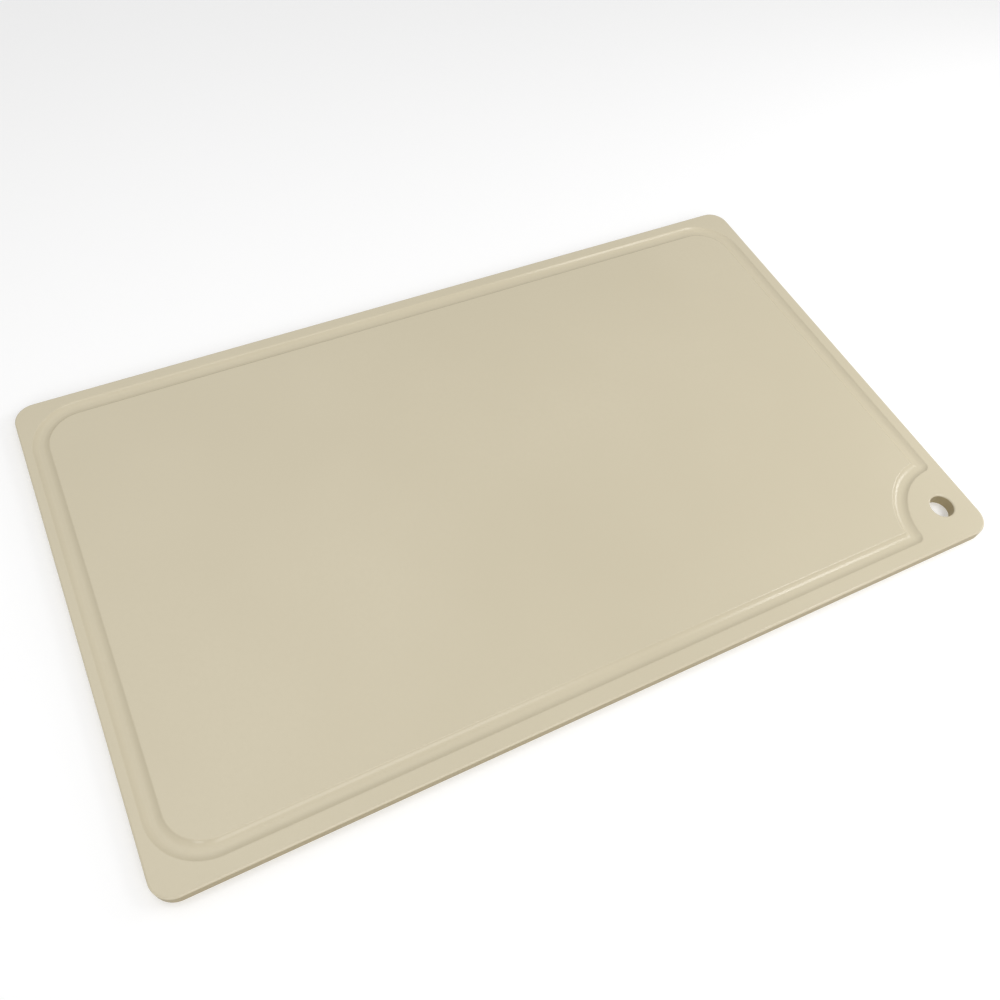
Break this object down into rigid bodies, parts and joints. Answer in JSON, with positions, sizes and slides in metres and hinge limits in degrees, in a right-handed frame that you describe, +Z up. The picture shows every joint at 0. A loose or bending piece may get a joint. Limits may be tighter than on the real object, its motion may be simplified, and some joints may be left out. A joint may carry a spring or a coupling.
{
  "type": "cutting board",
  "caption": "Rectangular beige plastic cutting board with a juice groove all round that bends inwards past a hanging hole in one corner.",
  "frame": {"origin": "on the resting plane, under the middle of the board", "axes": "+X along the board's length towards the side with the hanging hole, +Y across its width away from the hanging hole, +Z up out of the grooved cutting side"},
  "size_m": [0.5, 0.3, 0.008],
  "materials": {
    "board_plastic": "satin"
  },
  "bodies": {
    "root": {"cutting_board": "board_plastic"}
  },
  "joints": []
}
